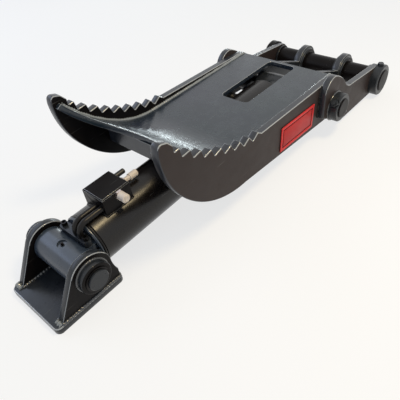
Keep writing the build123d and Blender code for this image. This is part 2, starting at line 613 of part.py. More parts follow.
teeth = [tooth_start, along_teeth(tooth_first / 2, 0.75 * tooth_depth)]
for i in range(tooth_count):
    teeth.append(along_teeth(tooth_first + tooth_pitch * i, 0))
    if i < tooth_count - 1:
        teeth.append(along_teeth(tooth_first + tooth_pitch * (i + 0.5), tooth_depth))
shoulder_centre = (shoulder_x, shoulder_end - shoulder_radius)
neck_out, neck_in = on_arc(neck_centre, neck_radius, neck_start), on_arc(neck_centre, neck_radius, neck_end)
shoulder_foot = touch(shoulder_centre, shoulder_radius, neck_out, -1)
for name, side in (("near", -1), ("far", 1)):
    with BuildPart() as side_plate:
        with BuildSketch(side_view(plate_outside if side > 0 else -plate_inside)):
            with BuildLine():
                Polyline(finger_back, finger_nose, finger_corner, *teeth, step_foot, (shoulder_x, shoulder_end))
                ThreePointArc(
                    (shoulder_x, shoulder_end),
                    (shoulder_centre[0] + shoulder_radius, shoulder_centre[1]),
                    shoulder_foot,
                )
                Line(shoulder_foot, neck_out)
                ThreePointArc(neck_out, on_arc(neck_centre, neck_radius, (neck_start + neck_end) / 2), neck_in)
                ThreePointArc(
                    neck_in, on_arc(heel_centre, heel_radius, (heel_start + heel_end) / 2), finger_back
                )
            make_face()
            with Locations((rod_pin_x, rod_pin_z)):
                Circle(rod_pin_radius + fit, mode=Mode.SUBTRACT)
        extrude(amount=plate_thick)
        for points, rounding in (((finger_nose, finger_corner), finger_round), (teeth[1:], tooth_round)):
            corners = side_plate.edges().filter_by(Axis.Y).filter_by(
                lambda e: any(hypot(e.center().X - q[0], e.center().Z - q[1]) < 1 for q in points)
            )
            fillet(corners, rounding)
    finish(side_plate, f"side_plate_{name}")

    # Ear plate lapped on the side plate's outer face, out to the main pin
    with BuildPart() as ear_plate:
        with BuildSketch(side_view(lap_outside if side > 0 else -plate_outside)):
            eye_at = (main_pin_x, main_pin_z)
            eye_top = touch(eye_at, ear_eye_radius, ear_waist, 1)
            eye_foot = touch(eye_at, ear_eye_radius, ear_waist_low, -1)
            with BuildLine():
                Line((ear_back, ear_low), (ear_back, ear_high))
                ThreePointArc((ear_back, ear_high), (ear_back + 20, ear_crown[1] - 10), ear_crown)
                ThreePointArc(ear_crown, ear_slope, ear_hollow)
                ThreePointArc(ear_hollow, ear_dip, ear_waist)
                Line(ear_waist, eye_top)
                ThreePointArc(eye_top, (main_pin_x + ear_eye_radius, main_pin_z), eye_foot)
                Line(eye_foot, ear_waist_low)
                ThreePointArc(ear_waist_low, ear_keel_mid, ear_keel)
                Line(ear_keel, ear_belly)
                ThreePointArc(ear_belly, ear_heel, (ear_back, ear_low))
            make_face()
            with Locations(eye_at):
                Circle(main_pin_radius + fit, mode=Mode.SUBTRACT)
            with Locations((rod_pin_x, rod_pin_z)):
                Circle(rod_pin_radius + fit, mode=Mode.SUBTRACT)
        extrude(amount=plate_thick)
    finish(ear_plate, f"ear_plate_{name}")

    # Inner lug: round eye, waisted neck under the web, tail past the rod pin
    with BuildPart() as inner_lug:
        with BuildSketch(side_view(lug_outside if side > 0 else -lug_inside)):
            lug_low = touch(eye_at, lug_eye_radius, (rod_pin_x, lug_bottom - 10), -1)
            neck_meet = (main_pin_x - sqrt(lug_eye_radius ** 2 - (lug_neck[1] - main_pin_z) ** 2), lug_neck[1])
            web_under = web_top - web_thick
            with BuildLine():
                Line((lug_back, (lug_top + lug_bottom) / 2 - 15), (lug_back, lug_top - 15))
                ThreePointArc((lug_back, lug_top - 15), (lug_back + 4.4, lug_top - 4.4), (lug_back + 15, lug_top))
                Line((lug_back + 15, lug_top), (lug_tie_start - 13, lug_top + 5))
                Line((lug_tie_start - 13, lug_top + 5), (lug_tie_start, web_under))
                Line((lug_tie_start, web_under), (lug_tie_end, web_under))
                Line((lug_tie_end, web_under), neck_meet)
                ThreePointArc(neck_meet, (main_pin_x + lug_eye_radius, main_pin_z), lug_low)
                Line(lug_low, (rod_pin_x, lug_bottom - 10))
                Line((rod_pin_x, lug_bottom - 10), (lug_back, (lug_top + lug_bottom) / 2 - 15))
            make_face()
            with Locations(eye_at):
                Circle(main_pin_radius + fit, mode=Mode.SUBTRACT)
            with Locations((rod_pin_x, rod_pin_z)):
                Circle(rod_pin_radius + fit, mode=Mode.SUBTRACT)
        extrude(amount=plate_thick)
    finish(inner_lug, f"inner_lug_{name}")

    # Boss rings about the main pin: on both faces of the lug and on the ear plate's inner face
    ring_places = (
        (f"lug_boss_{name}_inner", lug_inside, -1, boss_radius),
        (f"lug_boss_{name}_outer", lug_outside, 1, boss_radius),
        (f"ear_boss_{name}", plate_outside, -1, ear_boss_radius),
    )
    for ring_name, face, way, radius in ring_places:
        ends = sorted((side * face, side * (face + way * boss_length)))
        with BuildPart() as boss_ring:
            with BuildSketch(side_view(ends[1])):
                with Locations(eye_at):
                    Circle(radius)
                    Circle(main_pin_radius + fit, mode=Mode.SUBTRACT)
            extrude(amount=boss_length)
        finish(boss_ring, ring_name)

# Web: flat over the cylinder, then bent upward in two arcs, slotted and hollowed at its front
bend_centre = (web_bend_x, web_top + bend_radius)
lip_centre = (
    bend_centre[0] + (lip_radius - bend_radius) * sin(radians(bend_angle)),
    bend_centre[1] + (lip_radius - bend_radius) * cos(radians(bend_angle)),
)


def web_face(depth):
    """Points of the web's side-view line, depth below its top: ends and arc middles."""
    return [
        (web_right, web_top - depth),
        (web_bend_x, web_top - depth),
        on_arc(bend_centre, bend_radius + depth, bend_angle / 2),
        on_arc(bend_centre, bend_radius + depth, bend_angle),
        on_arc(lip_centre, lip_radius + depth, (bend_angle + lip_angle) / 2),
        on_arc(lip_centre, lip_radius + depth, lip_angle),
    ]


with BuildPart() as web:
    with BuildSketch(side_view(plate_inside)):
        top, under = web_face(0), web_face(web_thick)
        with BuildLine():
            for face in (top, under):
                Line(face[0], face[1])
                ThreePointArc(face[1], face[2], face[3])
                ThreePointArc(face[3], face[4], face[5])
            Line(top[0], under[0])
            Line(top[5], under[5])
        make_face()
    extrude(amount=2 * plate_inside)
    with BuildSketch(Plane.XY.offset(web_top + lip_radius)):
        with Locations(((slot_start + slot_end) / 2, 0)):
            RectangleRounded(slot_end - slot_start, slot_width, slot_corner)
        with BuildLine():
            Line((bay_mouth - 60, -bay_mouth_half), (bay_mouth, -bay_mouth_half))
            ThreePointArc(
                (bay_mouth, -bay_mouth_half), (bay_mid, -bay_mid_half), (bay_shoulder, -bay_half)
            )
            ThreePointArc((bay_shoulder, -bay_half), (bay_apex, 0), (bay_shoulder, bay_half))
            ThreePointArc((bay_shoulder, bay_half), (bay_mid, bay_mid_half), (bay_mouth, bay_mouth_half))
            Line((bay_mouth, bay_mouth_half), (bay_mouth - 60, bay_mouth_half))
            Line((bay_mouth - 60, bay_mouth_half), (bay_mouth - 60, -bay_mouth_half))
        make_face()
    extrude(amount=-2 * lip_radius, mode=Mode.SUBTRACT)
finish(web, "web_plate")

# Front plate across the plates, shaped to the web's underside
under_radius = lip_radius + web_thick


def under_web(x):
    """Point of the web's underside in its outer arc at x."""
    return (x, lip_centre[1] - sqrt(under_radius ** 2 - (lip_centre[0] - x) ** 2))


with BuildPart() as front_plate:
    front_end = front_x + front_thick
    with BuildSketch(side_view(plate_inside)):
        with BuildLine():
            Polyline(under_web(front_x), (front_x, front_low), (front_end, front_low), under_web(front_end))
            ThreePointArc(under_web(front_x), under_web(front_x + front_thick / 2), under_web(front_end))
        make_face()
    extrude(amount=2 * plate_inside)
finish(front_plate, "front_plate")

# Rod pin with its far head, near collar, cross bolt and nut
with BuildPart() as rod_pin:
    with BuildSketch(side_view(lap_outside)):
        with Locations((rod_pin_x, rod_pin_z)):
            Circle(rod_pin_radius)
    extrude(amount=2 * lap_outside + rod_collar_length + 4)
    with BuildSketch(side_view(lap_outside + rod_collar_length)):
        with Locations((rod_pin_x, rod_pin_z)):
            Circle(rod_collar_radius)
    extrude(amount=rod_collar_length)
    chamfer(rod_pin.faces().sort_by(Axis.Y)[-1].edges(), 3.0)
    chamfer(rod_pin.faces().sort_by(Axis.Y)[0].edges(), 2.0)
    cross_y = -lap_outside - rod_collar_length / 2
    cross_way = (cos(radians(cross_turn)), 0, -sin(radians(cross_turn)))
    cross_plane = Plane(origin=(rod_pin_x, cross_y, rod_pin_z), x_dir=(0, 1, 0), z_dir=cross_way)
    with BuildSketch(cross_plane):
        Circle(cross_radius + fit)
    extrude(amount=rod_collar_radius, both=True, mode=Mode.SUBTRACT)
finish(rod_pin, "rod_pin")

with BuildPart() as rod_collar:
    with BuildSketch(side_view(-lap_outside)):
        with Locations((rod_pin_x, rod_pin_z)):
            Circle(rod_collar_radius)
            Circle(rod_pin_radius + fit, mode=Mode.SUBTRACT)
    extrude(amount=rod_collar_length)
    chamfer(rod_collar.faces().sort_by(Axis.Y)[0].edges().sort_by(SortBy.RADIUS)[-1:], 3.0)
    for way in (-1, 1):
        with BuildSketch(cross_plane.offset(way * rod_collar_radius)):
            Circle(cross_flats * 0.62)
        extrude(amount=-way * cross_flat, mode=Mode.SUBTRACT)
    with BuildSketch(cross_plane):
        Circle(cross_radius + fit)
    extrude(amount=rod_collar_radius, both=True, mode=Mode.SUBTRACT)
finish(rod_collar, "rod_pin_collar")

cross_seat = rod_collar_radius - cross_flat
with BuildPart() as cross_bolt:
    with BuildSketch(cross_plane.offset(cross_seat)):
        RegularPolygon(cross_flats / 2, 6, major_radius=False)
    extrude(amount=cross_head)
    with BuildSketch(cross_plane.offset(cross_seat)):
        Circle(cross_radius)
    extrude(amount=-(2 * cross_seat + cross_head + 6))
finish(cross_bolt, "rod_pin_bolt")

with BuildPart() as cross_nut:
    with BuildSketch(cross_plane.offset(-cross_seat)):
        RegularPolygon(cross_flats / 2, 6, major_radius=False)
        Circle(cross_radius + fit, mode=Mode.SUBTRACT)
    extrude(amount=-cross_head)
finish(cross_nut, "rod_pin_nut")

# Main pin with its far head, near collar and the lock bolt on the collar's crown
lock_y = -lap_outside - lock_inset
lock_plane = Plane(origin=(main_pin_x, lock_y, main_pin_z + collar_radius - cross_flat), z_dir=(0, 0, 1))
with BuildPart() as main_pin:
    with BuildSketch(side_view(lap_outside)):
        with Locations(eye_at):
            Circle(main_pin_radius)
    extrude(amount=2 * lap_outside + collar_length + 4)
    with BuildSketch(side_view(lap_outside + collar_length)):
        with Locations(eye_at):
            Circle(collar_radius)
    extrude(amount=collar_length)
    chamfer(main_pin.faces().sort_by(Axis.Y)[-1].edges(), 3.0)
    chamfer(main_pin.faces().sort_by(Axis.Y)[0].edges(), 3.0)
    with BuildSketch(lock_plane):
        Circle(lock_radius + fit)
    extrude(amount=-lock_depth, mode=Mode.SUBTRACT)
finish(main_pin, "main_pin")

with BuildPart() as main_collar:
    with BuildSketch(side_view(-lap_outside)):
        with Locations(eye_at):
            Circle(collar_radius)
            Circle(main_pin_radius + fit, mode=Mode.SUBTRACT)
    extrude(amount=collar_length)
    chamfer(main_collar.faces().sort_by(Axis.Y)[0].edges().sort_by(SortBy.RADIUS)[-1:], 3.0)
    with BuildSketch(lock_plane):
        Circle(lock_flats * 0.6)
    extrude(amount=cross_flat + 1, mode=Mode.SUBTRACT)
    with BuildSketch(lock_plane):
        Circle(lock_radius + fit)
    extrude(amount=-lock_depth, mode=Mode.SUBTRACT)
finish(main_collar, "main_pin_collar")

with BuildPart() as lock_bolt:
    with BuildSketch(lock_plane):
        RegularPolygon(lock_flats / 2, 6, major_radius=False)
    extrude(amount=lock_head)
    with BuildSketch(lock_plane):
        Circle(lock_radius)
    extrude(amount=-(lock_depth - 2))
finish(lock_bolt, "main_pin_bolt")

# Bare name plate with four rivet heads on the near side plate
with BuildPart() as name_plate:
    with BuildSketch(side_view(-plate_outside)):
        with Locations(Location((*label_centre, 0), (0, 0, label_turn))):
            RectangleRounded(label_length, label_height, 4)
    extrude(amount=label_thick)
    with BuildSketch(side_view(-plate_outside - label_thick)):
        with Locations(Location((*label_centre, 0), (0, 0, label_turn))):
            with GridLocations(label_length - 2 * rivet_inset, label_height - 2 * rivet_inset, 2, 2):
                Circle(rivet_radius)
    extrude(amount=rivet_height)
finish(name_plate, "name_plate")
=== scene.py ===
"""Dresses an excavator thumb: welded plates, cylinder and pins under glossy dark machine enamel."""

import json
import logging
import math
from dataclasses import dataclass
from enum import Enum
from typing import Any, Mapping, Optional, Sequence, Union

import bmesh
import bpy
from mathutils import Matrix, Vector

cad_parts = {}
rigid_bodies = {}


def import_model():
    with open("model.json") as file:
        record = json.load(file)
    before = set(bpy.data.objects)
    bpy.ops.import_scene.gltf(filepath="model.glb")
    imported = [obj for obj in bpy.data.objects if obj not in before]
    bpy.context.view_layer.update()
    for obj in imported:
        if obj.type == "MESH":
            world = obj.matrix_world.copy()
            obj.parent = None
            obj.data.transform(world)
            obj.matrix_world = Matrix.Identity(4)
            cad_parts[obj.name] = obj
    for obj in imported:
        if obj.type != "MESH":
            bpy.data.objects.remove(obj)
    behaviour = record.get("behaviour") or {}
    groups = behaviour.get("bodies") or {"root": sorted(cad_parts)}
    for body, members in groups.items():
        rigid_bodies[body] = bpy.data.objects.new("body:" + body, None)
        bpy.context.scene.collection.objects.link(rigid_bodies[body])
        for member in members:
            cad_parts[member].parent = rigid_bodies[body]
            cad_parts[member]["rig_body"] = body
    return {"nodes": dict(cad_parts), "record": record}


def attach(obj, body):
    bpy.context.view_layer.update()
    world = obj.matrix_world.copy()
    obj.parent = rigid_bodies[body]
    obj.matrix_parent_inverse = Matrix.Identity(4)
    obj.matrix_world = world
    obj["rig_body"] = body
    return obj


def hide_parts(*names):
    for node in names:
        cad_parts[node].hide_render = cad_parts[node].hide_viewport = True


log = logging.getLogger("thumb")
MM = 0.001
ACROSS = Vector((0, 1, 0))
SIDES = (("near", -1), ("far", 1))

# Material slots of an eased plate: sides, then the faces round them, then the eased edges. The faces round
# them may carry a painted sky reflection and the eased edges a painted highlight
RIM_SLOT = 1
EDGE_SLOT = 2
# A face looks sideways from this share of its normal, and an edge looks up from that one
SIDEWAYS = 0.7
UPWARD = 0.2
# Edge angles in radians: of an edge that is eased, and under which shading is smooth
SHARP = 0.6
GENTLE_EASED = 0.9
GENTLE_BEAD = 1.2
# Area in square metres from which a plate's face is shaded flat
FLAT_AREA = 0.004
# Points closer than this merge, and faces that turn less than this, in radians, become one
MERGE = 0.02 * MM
COPLANAR = 0.005

# Weld beads: distance of their rings, corners of a ring, and the beats of their ripples
RING_PITCH = 3.0 * MM
RING_CORNERS = 8
RIPPLE_BEAT = 2.1
SWELL_BEAT = 0.37
SWELL_SHARE = 0.5

# Sockets of the colour mix
MIX_FIRST = 6
MIX_SECOND = 7
MIX_RESULT = 2

# Spans of a noise, or of facing upward, over which an effect goes from none to full
SETTLE_SPAN = (0.35, 1.0)
DUST_SPAN = (0.42, 0.75)
SCRATCH_SPAN = (0.71, 0.76)
GLOSS_SPAN = (0.3, 0.75)
STAIN_SPAN = (0.4, 0.7)
GRIME_SPAN = (0.45, 0.75)

# Grains of the noises, in millimetres
DUST_MM = 45.0
WAVE_MM = 60.0
STAIN_MM = 30.0
GRIME_MM = 12.0
SKIN_MM = 0.9
METRE_MM = 1000.0

# Turn and stretch that draw a noise out into long thin threads
THREAD_TURN = (0.0, 0.35, 0.6)
THREAD_SCALE = (6.0, 260.0, 260.0)
SCORED_COLOUR = "#8a8c8a"

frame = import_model()


def linear(hex_colour: str) -> tuple[float, float, float, float]:
    """Turn an sRGB hex colour into a linear RGBA value.

    Args:
        hex_colour: colour such as "#2b2e30".

    Returns:
        The linear colour with full alpha.
    """
    parts = [int(hex_colour[i : i + 2], 16) / 255 for i in (1, 3, 5)]
    values = [p / 12.92 if p <= 0.04045 else ((p + 0.055) / 1.055) ** 2.4 for p in parts]
    return (values[0], values[1], values[2], 1.0)


def add(
    tree: bpy.types.NodeTree,
    kind: str,
    settings: Optional[Mapping[Any, Any]] = None,
    links: Optional[Mapping[Any, bpy.types.NodeSocket]] = None,
) -> bpy.types.Node:
    """Add a node with its settings and incoming links.

    Args:
        tree: node tree that gets the node.
        kind: Blender's name of the node type.
        settings: properties by name, or socket values by socket name or index.
        links: output sockets to plug in, by input name or index.

    Returns:
        The new node.
    """
    node = tree.nodes.new(kind)
    for key, value in (settings or {}).items():
        if isinstance(key, str) and hasattr(node, key):
            setattr(node, key, value)
        else:
            node.inputs[key].default_value = value
    for key, socket in (links or {}).items():
        tree.links.new(socket, node.inputs[key])
    return node


def noise(
    tree: bpy.types.NodeTree,
    coords: bpy.types.NodeSocket,
    size_mm: float,
    detail: float = 2.0,
    roughness: float = 0.5,
) -> bpy.types.NodeSocket:
    """Add a noise.

    Args:
        tree: tree that gets the node.
        coords: coordinates in metres.
        size_mm: size of its grains.
        detail: how many finer layers it has.
        roughness: how strong the finer layers are.

    Returns:
        Its value.
    """
    settings = {"Scale": METRE_MM / size_mm, "Detail": detail, "Roughness": roughness}
    return add(tree, "ShaderNodeTexNoise", settings, {"Vector": coords}).outputs["Fac"]


def ramp(
    tree: bpy.types.NodeTree,
    value: bpy.types.NodeSocket,
    span: tuple[float, float],
    result: tuple[float, float],
) -> bpy.types.NodeSocket:
    """Map a span of a value onto another span, and hold its ends.

    Args:
        tree: tree that gets the node.
        value: value to map.
        span: the two values that it goes between.
        result: what they become.

    Returns:
        The mapped value.
    """
    settings = {"From Min": span[0], "From Max": span[1], "To Min": result[0], "To Max": result[1]}
    return add(tree, "ShaderNodeMapRange", settings, {"Value": value}).outputs[0]


def blend(
    tree: bpy.types.NodeTree,
    share: bpy.types.NodeSocket,
    first: Union[str, bpy.types.NodeSocket],
    second: Union[str, bpy.types.NodeSocket],
) -> bpy.types.NodeSocket:
    """Mix two colours.

    Args:
        tree: tree that gets the node.
        share: share of the second colour.
        first: hex colour or socket.
        second: hex colour or socket.

    Returns:
        The mixed colour.
    """
    settings: dict[Any, Any] = {"data_type": "RGBA"}
    links: dict[Any, bpy.types.NodeSocket] = {0: share}
    for place, colour in ((MIX_FIRST, first), (MIX_SECOND, second)):
        if isinstance(colour, str):
            settings[place] = linear(colour)
        else:
            links[place] = colour
    return add(tree, "ShaderNodeMix", settings, links).outputs[MIX_RESULT]


def relief(
    tree: bpy.types.NodeTree,
    height: bpy.types.NodeSocket,
    strength: float,
    distance: float,
    under: Optional[bpy.types.NodeSocket] = None,
) -> bpy.types.NodeSocket:
    """Add a fine bump.

    Args:
        tree: tree that gets the node.
        height: value that gives its height.
        strength: its strength.
        distance: its full height in metres.
        under: normal that it lies on, or None for the surface's own.

    Returns:
        The bumped normal.
    """
    links = {"Height": height} if under is None else {"Height": height, "Normal": under}
    return add(tree, "ShaderNodeBump", {"Strength": strength, "Distance": distance}, links).outputs[0]


def fresh(name: str) -> tuple[bpy.types.Material, bpy.types.NodeTree, bpy.types.NodeSocket]:
    """Start an empty node material.

    Args:
        name: name of the finish.

    Returns:
        The material, its tree and the object coordinates.
    """
    material = bpy.data.materials.new(name)
    material.use_nodes = True
    material.node_tree.nodes.clear()
    coords = add(material.node_tree, "ShaderNodeTexCoord").outputs["Object"]
    return material, material.node_tree, coords


def close(tree: bpy.types.NodeTree, shader: bpy.types.Node) -> None:
    """Plug a shader into the material's output.

    Args:
        tree: the material's tree.
        shader: shader node.
    """
    add(tree, "ShaderNodeOutputMaterial", links={"Surface": shader.outputs[0]})


@dataclass(frozen=True)
class MachineEnamel:
    """Sprayed two-pack enamel on blasted steel plate: dark, glossy, with orange peel and dust."""

    name: str
    colour: str
    second: str
    dust_colour: str
    dust: float
    roughness: float
    peel_mm: float = 2.5
    patch_mm: float = 140.0
    specular: float = 0.5
    coat: float = 0.1

    def build(self) -> bpy.types.Material:
        """Build the enamel.

        Returns:
            The material.
        """
        material, tree, coords = fresh(self.name)
        shade = blend(tree, noise(tree, coords, self.patch_mm, 3.0), self.colour, self.second)
        # Dust settles where the paint faces up, in patches a hand wide
        normal = add(tree, "ShaderNodeNewGeometry").outputs["Normal"]
        facing = add(tree, "ShaderNodeSeparateXYZ", links={0: normal}).outputs["Z"]
        settle = ramp(tree, facing, SETTLE_SPAN, (0.15, 1.0))
        clouds = noise(tree, coords, DUST_MM, 6.0, 0.65)
        thin = ramp(tree, clouds, DUST_SPAN, (0.0, self.dust))
        veil = add(tree, "ShaderNodeMath", {"operation": "MULTIPLY", "use_clamp": True}, {0: thin, 1: settle})
        dusty = blend(tree, veil.outputs[0], shade, self.dust_colour)
        # Handling scratches: long thin threads, a few centimetres each
        stretched = add(
            tree, "ShaderNodeMapping", {"Rotation": THREAD_TURN, "Scale": THREAD_SCALE}, {"Vector": coords}
        ).outputs[0]
        scratch = ramp(tree, noise(tree, stretched, METRE_MM), SCRATCH_SPAN, (0.0, 0.35))
        gloss = ramp(tree, clouds, GLOSS_SPAN, (self.roughness, self.roughness + 0.14))
        peel = relief(tree, noise(tree, coords, self.peel_mm), 0.12, 0.6 * MM)
        shader = add(
            tree,
            "ShaderNodeBsdfPrincipled",
            {"Specular IOR Level": self.specular, "Coat Weight": self.coat, "Coat Roughness": 0.1},
            {
                "Base Color": blend(tree, scratch, dusty, SCORED_COLOUR),
                "Roughness": gloss,
                "Normal": relief(tree, noise(tree, coords, WAVE_MM, 1.0), 0.25, 2.0 * MM, peel),
            },
        )
        close(tree, shader)
        return material


@dataclass(frozen=True)
class WorkedMetal:
    """Bare metal as a tool left it: turned, ground, plated or cast."""

    name: str
    colour: str
    tarnish: str
    roughness: float
    grain_mm: float
    grain_strength: float = 0.1
    tarnish_share: float = 0.4

    def build(self) -> bpy.types.Material:
        """Build the metal.

        Returns:
            The material.
        """
        material, tree, coords = fresh(self.name)
        stain = ramp(tree, noise(tree, coords, STAIN_MM, 5.0), STAIN_SPAN, (0.0, self.tarnish_share))
        grain = noise(tree, coords, self.grain_mm, 3.0)
        shader = add(
            tree,
            "ShaderNodeBsdfPrincipled",
            {"Metallic": 1.0},
            {
                "Base Color": blend(tree, stain, self.colour, self.tarnish),
                "Roughness": ramp(tree, stain, (0.0, 1.0), (self.roughness, self.roughness + 0.18)),
                "Normal": relief(tree, grain, self.grain_strength, 0.5 * MM),
            },
        )
        close(tree, shader)
        return material


@dataclass(frozen=True)
class MouldedPart:
    """Moulded polythene or rubber: even colour, soft sheen, fine grain and a little grime."""

    name: str
    colour: str
    grime: str
    roughness: float
    grime_share: float = 0.3

    def build(self) -> bpy.types.Material:
        """Build the moulded finish.

        Returns:
            The material.
        """
        material, tree, coords = fresh(self.name)
        smear = ramp(tree, noise(tree, coords, GRIME_MM, 5.0), GRIME_SPAN, (0.0, self.grime_share))
        shader = add(
            tree,
            "ShaderNodeBsdfPrincipled",
            {"IOR": 1.5, "Roughness": self.roughness},
            {
                "Base Color": blend(tree, smear, self.colour, self.grime),
                "Normal": relief(tree, noise(tree, coords, SKIN_MM), 0.08, 0.2 * MM),
            },
        )
        close(tree, shader)
        return material


class Finish(Enum):
    """Every finish on the thumb."""

    # Lower sides of the plates look warm and near black: painted shade, a darker copy of the paint than on
    # the rims
    PLATE_SHADE = MachineEnamel(
        "painted_shade_plate_enamel", "#2b2424", "#332b2a", "#5a504b", 0.18, 0.40, specular=0.2, coat=0.0
    )
    # The web's colour is a painted sky reflection: teal in patches, violet in others
    WEB_SKY_REFLECTION = MachineEnamel("painted_sky_reflection_web", "#1b2b30", "#292d3f", "#67737c", 0.14, 0.2, patch_mm=200.0)
    # Faces round a plate get a painted sky reflection: a bluer, lighter copy of the paint. Edges that look up
    # get a painted highlight
    RIM_SKY_REFLECTION = MachineEnamel("painted_sky_reflection_on_rims", "#20242c", "#292d36", "#5c626c", 0.16, 0.25, specular=0.45)
    # Painted highlight: a light grey copy of the paint for eased edges that look up
    EDGE_HIGHLIGHT = MachineEnamel(
        "painted_edge_highlight", "#7d838b", "#a3a7ab", "#a5a5a3", 0.3, 0.16, specular=0.8, coat=0.5
    )
    # Painted sky reflection: a blue copy of the paint for the cylinder's base cap
    EYE_SKY_REFLECTION = MachineEnamel("painted_sky_reflection_eye", "#2b3543", "#343e4b", "#6a7480", 0.2, 0.24)
    # Painted shade: a darker copy of the black paint for sides, bosses, pins, the valve block and the far
    # side plate
    SIDE_SHADE = MachineEnamel(
        "painted_shade_black_enamel", "#0e0c0d", "#141213", "#3c393d", 0.08, 0.3, specular=0.1, coat=0.0
    )
    # Base plate, lugs and the rims of the bosses: blue-black
    FRAME = MachineEnamel(
        "blue_black_enamel", "#1d2127", "#262a30", "#4e545c", 0.2, 0.24, specular=0.3, coat=0.05
    )
    CYLINDER = MachineEnamel(
        "black_cylinder_enamel", "#0e0c0c", "#151313", "#48423e", 0.05, 0.25, specular=0.22, coat=0.0
    )
    BARREL = MachineEnamel(
        "gloss_barrel_enamel", "#0c0a0a", "#141111", "#48423e", 0.05, 0.19, specular=0.35, coat=0.0
    )
    WELD = MachineEnamel(
        "enamel_over_weld", "#2b2e33", "#3a3d41", "#7c8084", 0.25, 0.16, 1.6, specular=0.6, coat=0.3
    )
    # Painted highlight: a light grey copy of the paint over the toe welds and the web welds
    SEAM_HIGHLIGHT = MachineEnamel(
        "painted_highlight_over_weld", "#6f767b", "#8b9195", "#a9adb0", 0.3, 0.16, 1.6, specular=0.8, coat=0.4
    )
    OXIDE = WorkedMetal("black_oxide_steel", "#2c2b2c", "#1f1d1c", 0.35, 1.2)
    STEEL = WorkedMetal("ground_bolt_steel", "#8f8f8d", "#5a5148", 0.32, 1.2)
    ZINC = WorkedMetal("zinc_plated_steel", "#c9bdb8", "#8d7f78", 0.3, 1.2)
    CHROME = WorkedMetal("hard_chrome", "#c6c8ca", "#8d8a84", 0.1, 3.0, 0.03, 0.25)
    BRONZE = WorkedMetal("bearing_bronze", "#a97f4b", "#6d5030", 0.35, 1.5)
    IRON = WorkedMetal("turned_cast_iron", "#3c3c3d", "#2a2827", 0.4, 1.5, 0.15)
    SEAL = MouldedPart("seal_rubber", "#161616", "#3a3733", 0.6)
    PALE_CAP = MouldedPart("pale_polythene_cap", "#d9cfc6", "#a08c80", 0.42)
    BLACK_CAP = MouldedPart("black_polythene_plug", "#141414", "#3b3936", 0.4)
    RED_RIM = MachineEnamel(
        "red_border_enamel", "#d83638", "#c42d30", "#a05a55", 0.12, 0.35, specular=0.2, coat=0.0
    )
    RED_PANEL = MachineEnamel(
        "red_panel_enamel", "#bb2e31", "#a8282b", "#8a4c48", 0.12, 0.38, specular=0.2, coat=0.0
    )
    BARE_LABEL = MachineEnamel(
        "dark_field_enamel", "#3a1718", "#301314", "#5a3634", 0.1, 0.4, specular=0.2, coat=0.0
    )


BY_SLOT = {
    "dark_paint": Finish.FRAME,
    "bare_steel": Finish.STEEL,
    "bush_bronze": Finish.BRONZE,
    "gland_iron": Finish.IRON,
    "rod_chrome": Finish.CHROME,
    "seal_rubber": Finish.SEAL,
    "pale_plastic": Finish.PALE_CAP,
    "black_plastic": Finish.BLACK_CAP,
    "plate_enamel": Finish.RED_RIM,
}

BY_NODE = {
    # The base cap takes a painted sky reflection
    "cylinder_base_cap": Finish.EYE_SKY_REFLECTION,
    "cylinder_barrel": Finish.BARREL,
    "pipe_flange_bar": Finish.FRAME,
    "port_adapter": Finish.ZINC,
    "end_adapter": Finish.ZINC,
    "flange_screw_near": Finish.OXIDE,
    "flange_screw_far": Finish.OXIDE,
    "bracket_pin_clip": Finish.OXIDE,
    "base_eye_nipple": Finish.OXIDE,
    # The pins take the painted-shade copy of the paint
    "main_pin": Finish.SIDE_SHADE,
    "rod_pin": Finish.SIDE_SHADE,
}


class Paintbox:
    """Builds each finish once and paints pieces with it."""

    def __init__(self) -> None:
        """Start with no finish built."""
        self.built: dict[Finish, bpy.types.Material] = {}

    def material(self, finish: Finish) -> bpy.types.Material:
        """Give a finish's material.

        Args:
            finish: the finish.

        Returns:
            Its material.
        """
        if finish not in self.built:
            self.built[finish] = finish.value.build()
        return self.built[finish]

    def paint(self, piece: bpy.types.Object, *finishes: Finish) -> None:
        """Give a piece its finishes.

        Args:
            piece: object to paint.
            finishes: the finish of each material slot.
        """
        # Clearing an empty list would reset the faces' slots
        if piece.data.materials:
            piece.data.materials.clear()
        for finish in finishes:
            piece.data.materials.append(self.material(finish))

    def paint_nodes(self) -> None:
        """Paint the CAD nodes by name, by body or by material slot."""
        slots = {s["node"]: s["material_slot"] for s in frame["record"]["subparts"]}
        in_barrel = frame["record"]["behaviour"]["bodies"]["barrel"]
        for name, node in frame["nodes"].items():
            if name in BY_NODE:
                finish = BY_NODE[name]
            elif name in in_barrel and slots[name] == "dark_paint":
                finish = Finish.CYLINDER
            else:
                finish = BY_SLOT[slots[name]]
            self.paint(node, finish)


def new_piece(
    name: str, mesh: bmesh.types.BMesh, smooth_below: float = SHARP, flat_above: float = 1.0
) -> bpy.types.Object:
    """Store a bmesh as an object with faces smooth across gentle edges.

    Args:
        name: name of the piece.
        mesh: its mesh, freed here.
        smooth_below: edge angle in radians under which shading is smooth.
        flat_above: area in square metres from which a face is shaded flat.

    Returns:
        The object.
    """
    for face in mesh.faces:
        face.smooth = face.calc_area() < flat_above
    for edge in mesh.edges:
        edge.smooth = len(edge.link_faces) == 2 and edge.calc_face_angle(0.0) < smooth_below
    data = bpy.data.meshes.new(name)
    mesh.to_mesh(data)
    mesh.free()
    piece = bpy.data.objects.new(name, data)
    bpy.context.scene.collection.objects.link(piece)
    return piece


def bevel(
    mesh: bmesh.types.BMesh, edges: Sequence[bmesh.types.BMEdge], width_mm: float, slot: int = -1
) -> None:
    """Ease edges with a narrow round.

    Args:
        mesh: mesh to change.
        edges: edges to ease.
        width_mm: width of the round.
        slot: material slot of the round, or -1 for its neighbours'.
    """
    bmesh.ops.bevel(
        mesh,
        geom=edges,
        offset=width_mm * MM,
        affect="EDGES",
        segments=2,
        profile=0.5,
        material=slot,
        clamp_overlap=True,
    )


def body_of_node(node: str) -> str:
    """Name the body that a CAD node rides on."""
    return frame["nodes"][node]["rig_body"]


